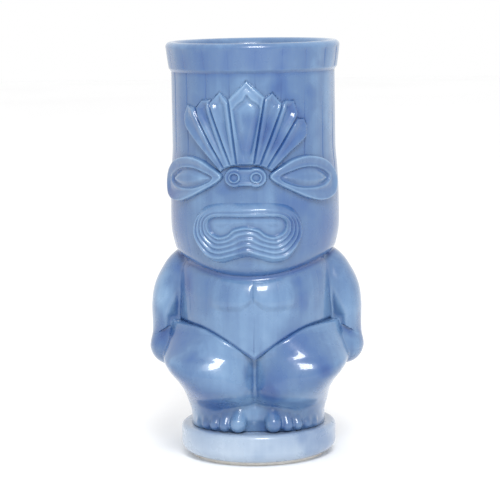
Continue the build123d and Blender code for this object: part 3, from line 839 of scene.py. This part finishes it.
def limb_piece(name, material):
    """One limb for each side: its own part of the smoothly joined body, down to the wall it stands on."""
    low, high = np.array(reach_boxes[name], float)
    own = limbs[name]
    others = neighbours(name)
    on_plain_wall = name in ARMS

    def joined(points):
        """The whole body near this limb, and how far a spot lies outside the limb's own zone of it."""
        mine = own(points)
        rest = np.full(mine.shape, 1e3)
        nearest = rest
        for other in others:
            beside = other(points)
            rest = blend_min(rest, beside, FILLET)
            nearest = np.minimum(nearest, beside)
        whole = blend_min(mine, rest, FILLET)
        zone = mine - nearest
        if on_plain_wall:
            wall = wall_field(points)
            zone = np.maximum(zone, mine - wall - WALL_FILLET)
            whole = blend_min(whole, wall, WALL_FILLET)
        return whole, zone

    def field(points):
        whole, zone = joined(points)
        height = points[..., 2]
        inner = wall_radius(angle_of(points), height) - 1.0 if on_plain_wall else sleeve_radius(height)
        behind = inner - np.hypot(points[..., 0], points[..., 1])
        shape = np.maximum(whole + 0.25 * np.maximum(zone, 0.0), zone - 0.6)
        return np.maximum(shape, np.maximum(behind, PLINTH_Z - height))

    cell = COARSE_CELL if high[0] - low[0] > SMALL_LIMB else FINE_CELL
    points, faces = surface_net(field, low, high, cell)
    # Painted shade with thicker glaze: each limb darkens where the joined body forms a hollow.
    glaze_and_shade = hollowness(lambda spots: joined(spots)[0], points)
    turn = np.array(Matrix.Rotation(BODY_TURN, 3, "Z"))
    for side in (1, -1):
        shaped = points * np.array([side, 1.0, 1.0])
        ordered = faces if side > 0 else [face[::-1] for face in faces]
        label = f"{'left' if side > 0 else 'right'}_{name}"
        yield piece(label, shaped @ turn.T, ordered, material, [label], glaze_and_shade)


# ---- Turned pieces and walls ----
HAIR = 0.02  # gap that keeps two faces from lying in one another
NECK_CAVITY = CAVITY_R - 0.3
HIP_CAVITY = SLEEVE_R - 2.0
ANKLE_CAVITY = HIP_CAVITY - ANKLE_STEP
TAPER_TOP = sleeve_high[2] + 4.0


def wall_piece(name, angles, rings, material):
    """Closed ring-shaped wall: each ring gives radius, height and pooling for all the angles."""
    points, glaze_and_shade = [], []
    for radius, height, pooled_and_shaded in rings:
        spots = (radius * np.sin(angles), -radius * np.cos(angles), height + 0 * angles)
        points.append(np.stack(spots, 1))
        glaze_and_shade.append(pooled_and_shaded + 0 * angles)
    faces = grid_faces(len(rings), len(angles), True)
    return piece(name, np.concatenate(points), faces, material, [name], np.concatenate(glaze_and_shade))


def groove_pooling(relief):
    """The glaze lies thicker in the plank lines."""
    return np.clip(-relief * 1.6, 0.0, 1.0)


def head_wall(material):
    """From the rounded edge under the chin up to the rim, and down again inside."""
    angles = wall_angles(HEAD_STAVE_PHASE)
    chin = HEAD_FOOT - chin_drop(angles)
    shares = np.concatenate([np.linspace(0, 0.08, 14)[:-1], np.linspace(0.08, 1.0, int(110 / FINE))])
    rings = []
    for share in shares:
        height = chin + (HEAD_TOP - chin) * share
        fade = 0.25 + 0.45 * smooth(height, 105, 118) + 0.3 * smooth(height, 126, 140)
        lines = stave_relief(angles, height, HEAD_STAVE_PHASE, WALL_R, 1.0)
        relief = lines * smooth(share, 0.02, 0.09) * fade
        # Painted shadow on the underside of the chin, and painted shade with thicker glaze in the crease
        # under the rim.
        ends = 0.7 * (1 - smooth(share, 0.0, 0.05)) + 0.3 * smooth(share, 0.975, 1.0)
        rings.append((head_radius(angles, height) + relief, height, groove_pooling(relief) + ends))
    # Inside the cup the glaze is a little darker: painted shade.
    for share in (1.0, 0.8, 0.6, 0.4, 0.2, 0.08, 0.0):
        height = chin + (HEAD_TOP - chin) * share
        neck = (CAVITY_R - NECK_CAVITY) * (1 - smooth(share, 0.0, 0.1))
        rings.append((CAVITY_R - neck, height, 0.25))
    return wall_piece("head_wall", angles, rings, material)


def torso_relief(angles, height):
    """Plank lines on the chest and all the way down the middle of the belly."""
    hips = hip_line(angles - BODY_TURN)
    top = smooth(height, 62.0, 70.0)
    front = 1 - smooth(from_front(angles - BODY_TURN), 0.1, 0.14)
    strength = np.maximum(0.9 * top, 0.7 * front)
    lines = stave_relief(angles, height, TORSO_STAVE_PHASE, WALL_R, 4.0) * strength
    return lines * smooth(height - hips, 1.0, 4.0) * (1 - smooth(height + chin_drop(angles), 79.5, 82.5))


def torso_radius(angles, height):
    """Outside of the torso, rolled in where it meets the thighs."""
    hips = hip_line(angles - BODY_TURN)
    roll = 0.7 * (1 - smooth(height - hips, -0.3, 1.6))
    return wall_radius(angles, height) - roll


def torso_wall(material):
    """From the hip line up to the chin, and down again inside on to the leg wall."""
    angles = wall_angles(TORSO_STAVE_PHASE)
    chin = HEAD_FOOT - chin_drop(angles)
    hips = hip_line(angles - BODY_TURN)
    stretches = ((0, 0.09, 9), (0.09, 0.84, int(56 / FINE)), (0.84, 1.0, 16))
    shares = np.concatenate([np.linspace(*stretch)[:-1] for stretch in stretches] + [[1.0]])
    rings = []
    for share in shares:
        height = hips + (chin - HAIR - hips) * share
        relief = torso_relief(angles, height)
        # Painted shade in the crease along the hip line, and painted shadow under the chin.
        crease = 0.7 * (1 - smooth(height - hips, 0.0, 2.2))
        crease = crease + 0.8 * smooth(height + chin_drop(angles), 81.8, 83.6)
        rings.append((torso_radius(angles, height) + relief, height, groove_pooling(relief) + crease))
    sleeve_top = sleeve_high[2]
    # Inside the cup and on the sleeve behind the legs the glaze is darker: painted shade.
    rings += [
        (NECK_CAVITY, chin - HAIR, 0.3), (CAVITY_R, TAPER_TOP, 0.3), (HIP_CAVITY, sleeve_top + HAIR, 0.3),
        (SLEEVE_R, sleeve_top, 0.3), (SLEEVE_R, hips, 0.3),
    ]
    return wall_piece("torso_wall", angles, rings, material)


def rim_band(material):
    """Flared band: chamfered foot, staved face, rounded lip and smooth inside."""
    outer = rim_high[0]
    foot, tall = HEAD_TOP, rim_high[2] - HEAD_TOP
    # How far inside the outer radius, and share of the height. The fades below count these points from 0.
    drawn = [
        (2.2, 0.0), (1.75, 0.05), (1.2, 0.11), (0.95, 0.2), (0.5, 0.45), (0.12, 0.72), (0.0, 0.82),
        (0.25, 0.9), (0.9, 0.965), (1.9, 0.998), (2.9, 0.995), (4.0, 0.955), (5.0, 0.87), (5.9, 0.7),
        (6.5, 0.45), (outer - CAVITY_R, 0.15), (outer - CAVITY_R, 0.0),
    ]
    steps = np.linspace(0, len(drawn) - 1, 72)
    radii = curve([(place, outer - pair[0]) for place, pair in enumerate(drawn)], steps)
    shares = curve([(place, pair[1]) for place, pair in enumerate(drawn)], steps)
    angles = wall_angles(HEAD_STAVE_PHASE)
    rings = []
    for place, radius, share in zip(steps, radii, shares):
        height = foot + tall * share + 0 * angles
        amount = 1.7 * (1 - smooth(place, 4.5, 6.5)) * smooth(place, 1.5, 3.0)
        relief = stave_relief(angles, height, HEAD_STAVE_PHASE, WALL_R, 2.0) * amount
        # Thin glaze pales over the lip. The foot, in its crease on the head, and the inside are darker:
        # thicker glaze and painted shade.
        thin = 0.35 * math.exp(-(((place - 9.0) / 2.0) ** 2))
        thick_and_shaded = 0.4 * (1 - smooth(place, 0.0, 2.0)) + 0.25 * smooth(place, 11, 15)
        rings.append((radius + relief, height, groove_pooling(relief) - thin + thick_and_shaded))
    return wall_piece("rim_band", angles, rings, material)


def fillet_arc(centre, radius, start, end, steps=10):
    """Points of an arc in (radius, height), angles in degrees from straight out, turning up."""
    return [
        (centre[0] + radius * math.cos(math.radians(turn)), centre[1] + radius * math.sin(math.radians(turn)))
        for turn in np.linspace(start, end, steps)
    ]


PLINTH_EDGE = 4.8  # rounding of its lower edge
PLINTH_LIP = 2.2  # and of its upper edge
HOLLOW = 24.5  # radius of the hollow under it
HOLLOW_TALL = 3.0


def plinth(material):
    """Thick round puck, a little out of true, hollowed underneath."""
    outer, low, high = plinth_high[0], plinth_low[2], plinth_high[2]
    edge, lip, roof = PLINTH_EDGE, PLINTH_LIP, low + HOLLOW_TALL
    profile = [(0.0, high)] + [(radius, high) for radius in np.linspace(4, outer - lip - 1, 10)]
    profile += fillet_arc((outer - lip, high - lip), lip, 90, 0)
    profile += [(outer - 0.05, (high + low + edge) / 2)]
    profile += fillet_arc((outer - edge, low + edge), edge, 0, -90, 14)
    profile += [(ring_high[0], low), (HOLLOW, low)]
    profile += [(HOLLOW - 0.6, roof - 0.6), (HOLLOW - 2.0, roof), (0.0, roof)]
    points, faces = turned([(radius, height) for radius, height in reversed(profile)], 240, False)
    angle = np.arctan2(points[:, 0], -points[:, 1])
    wobble = 1.0 + 0.004 * np.sin(3 * angle + 1.0) + 0.003 * np.sin(5 * angle)
    points[:, :2] *= np.minimum(wobble, 1.0)[:, None]
    # Painted reflection of the floor: the plinth's glaze is paler towards its foot and darker towards its
    # top.
    glaze_and_shade = 0.45 * smooth(points[:, 2], low + 4, high - 2)
    return piece("plinth", points, faces, material, ["plinth"], glaze_and_shade)


def foot_ring(material):
    """Unglazed ring with worn lower edges."""
    low, high = ring_low[2], ring_high[2]
    inner, outer, edge = HOLLOW, ring_high[0], 0.5
    profile = [(inner, high)] + fillet_arc((inner + edge, low + edge), edge, 180, 270, 6)
    profile += fillet_arc((outer - edge, low + edge), edge, -90, 0, 6) + [(outer, high)]
    points, faces = turned(profile, 200, True)
    return piece("foot_ring", points, faces, material, ["foot_ring"])


def cup_floor(material):
    """Bottom of the cup, dished so that it runs up into the wall."""
    low, high = floor_low[2], floor_high[2]
    outer, dish = ANKLE_CAVITY, 2.0
    profile = [(0.0, low), (outer, low), (outer, high - HAIR)]
    for radius in np.linspace(outer - 0.8, 3, 14):
        profile.append((radius, high - dish * (1 - (radius / outer) ** 4)))
    profile += [(0.0, high - dish)]
    points, faces = turned(profile, 160, False)
    # The cup's floor is darker all over: thicker glaze and painted shade.
    return piece("cup_floor", points, faces, material, ["cup_floor"], np.full(len(points), 0.4))


def leg_wall(material):
    """Plain sleeve behind the legs, narrower at the ankles."""
    low, high = sleeve_low[2], sleeve_high[2]
    start, end = ANKLE_TAPER
    ankle = SLEEVE_R - ANKLE_STEP
    profile = [
        (ANKLE_CAVITY, low), (ankle, low), (ankle, start), (SLEEVE_R, end), (SLEEVE_R, high),
        (HIP_CAVITY, high), (HIP_CAVITY, end), (ANKLE_CAVITY, start),
    ]
    points, faces = turned(profile, 180, True)
    # The sleeve behind the legs is darker all over: painted shade between the legs.
    return piece("leg_wall", points, faces, material, ["leg_wall"], np.full(len(points), 0.45))


# ---- Chest plates: two shallow pads under the chin ----
CHEST_RISE = 1.3
CHEST_HALF_WIDTH = 22.5
CHEST_TOP = 82.0
CHEST_FOOT = 66.0


def chest_height(side):
    """Pad that fades out towards the middle, the arm and the chin; its lower edge is the crisp one."""

    def height(across, up):
        along = across * side
        lower = 67.9 + 3.6 * np.exp(-((along / 3.4) ** 2)) + 0.9 * smooth(along, 12, 22)
        edge = np.minimum(up - lower, CHEST_HALF_WIDTH - along)
        inner = smooth(along, -1.2, 1.8) * (1 - smooth(along, 13.0, 22.0))
        top = 1 - smooth(up, 71.5, 81.5)
        return CHEST_RISE * smooth(edge, -0.9, 2.4) * inner * top - HAIR

    return height


def chest_plate(side, material):
    name = f"{'left' if side > 0 else 'right'}_chest_plate"
    height = chest_height(side)
    inner, outer = -0.5 * side, side * (CHEST_HALF_WIDTH + 1.0)
    low = (min(inner, outer) - 1.0, CHEST_FOOT, BELOW)
    high = (max(inner, outer) + 1.0, CHEST_TOP, 1.6)

    def field(points):
        across, up, out = points[..., 0], points[..., 1], points[..., 2]
        relief = torso_relief(across / WALL_R + BODY_TURN, up)
        top = height(across, up)
        body = (out - top - relief) * 0.8
        zone = np.maximum(0.03 - top, -across * side)
        body = np.maximum(body + 1.6 * np.maximum(zone, 0.0), zone * 3 - 0.3)
        return np.maximum(body, BELOW + 0.2 - out)

    points, faces = surface_net(field, low, high, 0.28)
    angle = points[:, 0] / WALL_R + BODY_TURN
    relief = torso_relief(angle, points[:, 1])
    radius = torso_radius(angle, points[:, 1]) + points[:, 2]
    placed = np.stack([radius * np.sin(angle), -radius * np.cos(angle), points[:, 1]], 1)
    return piece(name, placed, faces, material, [name], groove_pooling(relief))


# ---- Materials ----
def linear(red, green, blue):
    """Colour given the way a screen shows it, as the shader wants it (not for near black)."""
    parts = [channel / 255 for channel in (red, green, blue)]
    return tuple(((part + 0.055) / 1.055) ** 2.4 for part in parts) + (1.0,)


class Nodes:
    """Short hand for building a node tree."""

    def __init__(self, tree):
        self.tree = tree

    def add(self, kind, settings=None, **inputs):
        node = self.tree.nodes.new(kind)
        for name, value in (settings or {}).items():
            setattr(node, name, value)
        for name, value in inputs.items():
            self.feed(node.inputs[name.replace("_", " ")], value)
        return node

    def feed(self, socket, value):
        if isinstance(value, bpy.types.NodeSocket):
            self.tree.links.new(value, socket)
        else:
            socket.default_value = value

    def math(self, operation, *values):
        node = self.add("ShaderNodeMath", {"operation": operation})
        for socket, value in zip(node.inputs, values):
            self.feed(socket, value)
        return node.outputs[0]

    def noise(self, vector, scale, detail=2.0, roughness=0.5):
        node = self.add("ShaderNodeTexNoise", Vector=vector, Scale=scale, Detail=detail, Roughness=roughness)
        return node.outputs["Fac"]

    def stretched(self, vector, scale):
        node = self.add("ShaderNodeMapping", Vector=vector)
        node.inputs["Scale"].default_value = scale
        return node.outputs["Vector"]

    def ramp(self, value, stops):
        node = self.add("ShaderNodeValToRGB", Fac=value)
        ends = node.color_ramp.elements
        while len(ends) < len(stops):
            ends.new(0.5)
        for end, (spot, colour) in zip(ends, stops):
            end.position = spot
            end.color = colour
        return node.outputs["Color"]


def new_material(name):
    """Material with a principled shader, and the place on the object that its patterns start from."""
    material = bpy.data.materials.new(name)
    material.use_nodes = True
    material.node_tree.nodes.clear()
    nodes = Nodes(material.node_tree)
    shader = nodes.add("ShaderNodeBsdfPrincipled")
    output = nodes.add("ShaderNodeOutputMaterial")
    material.node_tree.links.new(shader.outputs["BSDF"], output.inputs["Surface"])
    where = nodes.add("ShaderNodeTexCoord").outputs["Object"]
    return material, nodes, shader, where


def glaze_material(name, stops, depth, middle):
    """Clear glossy glaze: darker where it pools in the hollows and where shade is painted in, paler where it
    thins over ridges or light is painted in, with faint streaks.
    """
    material, nodes, shader, where = new_material(name)
    pooled_and_shaded = nodes.add("ShaderNodeAttribute", {"attribute_name": "glaze_and_shade"}).outputs["Fac"]
    clouds = nodes.noise(where, 26.0, 3.0, 0.55)
    mottling = nodes.noise(where, 130.0, 3.0, 0.6)
    patches = nodes.math("MAXIMUM", nodes.math("SUBTRACT", nodes.noise(where, 48.0, 2.0, 0.5), 0.56), 0.0)
    streaks = nodes.noise(nodes.stretched(where, (420.0, 420.0, 22.0)), 1.0, 2.0, 0.5)
    amount = nodes.math("MULTIPLY_ADD", pooled_and_shaded, depth, middle)
    for pattern, strength in ((clouds, 0.9), (mottling, 0.25), (streaks, 0.22)):
        centred = nodes.math("SUBTRACT", pattern, 0.5)
        amount = nodes.math("ADD", amount, nodes.math("MULTIPLY", centred, strength))
    amount = nodes.math("ADD", amount, nodes.math("MULTIPLY", patches, 2.6))
    nodes.feed(shader.inputs["Base Color"], nodes.ramp(amount, stops))
    wear = nodes.noise(where, 70.0, 4.0, 0.6)
    nodes.feed(shader.inputs["Roughness"], nodes.math("MULTIPLY_ADD", wear, 0.16, 0.2))
    ripple = nodes.noise(where, 160.0, 2.0, 0.5)
    orange_peel = nodes.noise(where, 900.0, 2.0, 0.5)
    relief = nodes.math("ADD", ripple, nodes.math("MULTIPLY", orange_peel, 0.12))
    bump = nodes.add("ShaderNodeBump", Height=relief, Strength=0.22, Distance=0.0006)
    nodes.feed(shader.inputs["Normal"], bump.outputs["Normal"])
    for socket, value in (("IOR", 1.5), ("Coat Weight", 0.6), ("Coat Roughness", 0.04), ("Coat IOR", 1.5)):
        shader.inputs[socket].default_value = value
    return material


def bare_clay_material():
    """Unglazed foot: chalky off-white clay, a little dirty and worn."""
    material, nodes, shader, where = new_material("bare_clay")
    grain = nodes.noise(where, 240.0, 4.0, 0.65)
    stops = [(0.3, linear(214, 208, 198)), (0.55, linear(230, 225, 217)), (0.8, linear(241, 238, 232))]
    nodes.feed(shader.inputs["Base Color"], nodes.ramp(grain, stops))
    nodes.feed(shader.inputs["Roughness"], nodes.math("MULTIPLY_ADD", grain, 0.2, 0.72))
    bump = nodes.add("ShaderNodeBump", Height=grain, Strength=0.5, Distance=0.0004)
    nodes.feed(shader.inputs["Normal"], bump.outputs["Normal"])
    return material


blue_glaze = glaze_material(
    "blue_glaze",
    [
        (0.0, linear(126, 158, 191)), (0.3, linear(99, 132, 170)), (0.5, linear(79, 111, 153)),
        (0.75, linear(62, 97, 148)), (1.0, linear(44, 79, 136)),
    ],
    0.6, 0.42,
)
plinth_glaze = glaze_material(
    "plinth_glaze",
    [(0.0, linear(184, 198, 213)), (0.5, linear(154, 172, 194)), (1.0, linear(118, 141, 174))],
    0.4, 0.4,
)
bare_clay = bare_clay_material()

# ---- The mug ----
FACE_CELL = 0.26  # mesh cells of the face, mm
made = [build(blue_glaze) for build in (head_wall, rim_band, torso_wall, leg_wall, cup_floor)]
for name, outline in FEATHERS.items():
    low, high = outline_box(outline)
    made.append(relief_piece(name, reliefs[name], low, high, FACE_CELL, blue_glaze))
knot_reach = np.array([9.6, 5.4])
made.append(relief_piece("brow_knot", knot_height, -knot_reach, knot_reach, 0.24, blue_glaze))
for name, side in (("left", 1), ("right", -1)):
    centre = np.array([side * KNOT_SPACING * SCALE, 0.0])
    label = f"{name}_knot_disc"
    made.append(relief_piece(label, reliefs[label], centre - 3.6, centre + 3.6, 0.16, blue_glaze))
    low, high = outline_box(LID if side > 0 else mirrored(LID))
    for label in (f"{name}_eyelid", f"{name}_eyeball"):
        made.append(relief_piece(label, reliefs[label], low, high, FACE_CELL, blue_glaze))

# The lips are parted into the panel in the opening, the upper lip and the ridges below it.
LIP_SEAM = -20.6
RIDGE_PIECES = 4
LIP_START = 0.1  # where the panel ends, as a share of the lips' width
RIDGE_SHARE = 0.2  # width of a ridge, as a share of the lips' width
ANYWHERE = 9.0  # more than any share of the lips' width
mouth_low, mouth_high = outline_box(both_sides(LIPS), 2.2)


def lip_band(first, last, side_of_seam):
    """Zone of the lips between two shares of their width, on one side of the seam or (0) on both."""

    def zone(across, up):
        outward, inward = -opening_distance(across, up), lips_distance(across, up)
        width = np.maximum(outward + inward, 0.3)
        outside = np.maximum(first - outward / width, outward / width - last) * width
        return np.maximum(outside, side_of_seam * (LIP_SEAM - up)) if side_of_seam else outside

    return zone


mouth_zones = {"mouth_panel": (-ANYWHERE, LIP_START, 0), "upper_lip": (LIP_START, ANYWHERE, 1)}
for number in range(1, RIDGE_PIECES + 1):
    first = LIP_START + RIDGE_SHARE * (number - 1)
    last = first + RIDGE_SHARE if number < RIDGE_PIECES else ANYWHERE
    mouth_zones[f"mouth_ridge_{number}"] = (first, last, -1)
for name, zone in mouth_zones.items():
    made.append(relief_piece(name, mouth_height, mouth_low, mouth_high, 0.25, blue_glaze, lip_band(*zone)))

made += [chest_plate(side, blue_glaze) for side in (1, -1)]
for name in limbs:
    made += limb_piece(name, blue_glaze)
for thing in made:
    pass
plinth(plinth_glaze)
foot_ring(bare_clay)

# ---- Studio: pale floor, white surround, one small softbox ----
MIDDLE = Vector((0.0, 0.0, float(rim_high[2]) * MM / 2))
FLOOR_HALF = 3.0  # metres


def floor():
    mesh = bpy.data.meshes.new("floor")
    mesh.from_pydata([(FLOOR_HALF * x, FLOOR_HALF * y, 0) for x, y in SQUARE], [], [(0, 1, 2, 3)])
    material, nodes, shader, where = new_material("pale_floor")
    stops = [(0.3, (0.97, 0.97, 0.97, 1)), (0.7, (0.99, 0.99, 0.99, 1))]
    nodes.feed(shader.inputs["Base Color"], nodes.ramp(nodes.noise(where, 3.0), stops))
    shader.inputs["Roughness"].default_value = 0.9
    mesh.materials.append(material)
    thing = bpy.data.objects.new("floor", mesh)
    bpy.context.scene.collection.objects.link(thing)


def surround():
    """Even white light from all around."""
    world = bpy.data.worlds.new("surround")
    bpy.context.scene.world = world
    world.use_nodes = True
    background = world.node_tree.nodes["Background"]
    background.inputs["Color"].default_value = (1.0, 1.0, 1.0, 1.0)
    background.inputs["Strength"].default_value = 1.0


def softbox(name, azimuth, elevation, distance, size, watts):
    """Square area light aimed at the mug; azimuth is turned from the front towards +X."""
    light = bpy.data.lights.new(name, "AREA")
    light.shape = "SQUARE"
    light.size = size
    light.energy = watts
    lamp = bpy.data.objects.new(name, light)
    turn, rise = math.radians(azimuth), math.radians(elevation)
    way = Vector((math.sin(turn) * math.cos(rise), -math.cos(turn) * math.cos(rise), math.sin(rise)))
    lamp.location = MIDDLE + way * distance
    lamp.rotation_euler = way.to_track_quat("Z", "Y").to_euler()
    bpy.context.scene.collection.objects.link(lamp)


CAMERA_AZIMUTH = math.radians(4.5)  # from the front towards +X
CAMERA_DISTANCE = 0.892  # level distance from the axis, metres
CAMERA_HEIGHT = 0.212
CAMERA_DROP = math.radians(7.76)  # how far it looks down
CAMERA_ROLL = math.radians(-0.95)
LENS = 149.0
LENS_SHIFT = (-0.0114, -0.006)


def camera():
    lens = bpy.data.cameras.new("camera")
    lens.lens = LENS
    lens.sensor_width = 36.0
    lens.shift_x, lens.shift_y = LENS_SHIFT
    eye = bpy.data.objects.new("camera", lens)
    way = Vector((math.sin(CAMERA_AZIMUTH), -math.cos(CAMERA_AZIMUTH), 0.0))
    eye.location = way * CAMERA_DISTANCE + Vector((0.0, 0.0, CAMERA_HEIGHT))
    aim = Vector((0.0, 0.0, CAMERA_HEIGHT - CAMERA_DISTANCE * math.tan(CAMERA_DROP)))
    facing = (aim - eye.location).to_track_quat("-Z", "Y").to_matrix().to_4x4()
    eye.rotation_euler = (facing @ Matrix.Rotation(CAMERA_ROLL, 4, "Z")).to_euler()
    bpy.context.scene.collection.objects.link(eye)
    bpy.context.scene.camera = eye


floor()
surround()
softbox("key_softbox", 10.0, 44.0, 1.3, 0.38, 9.0)
camera()
bpy.context.scene.view_settings.view_transform = "Standard"
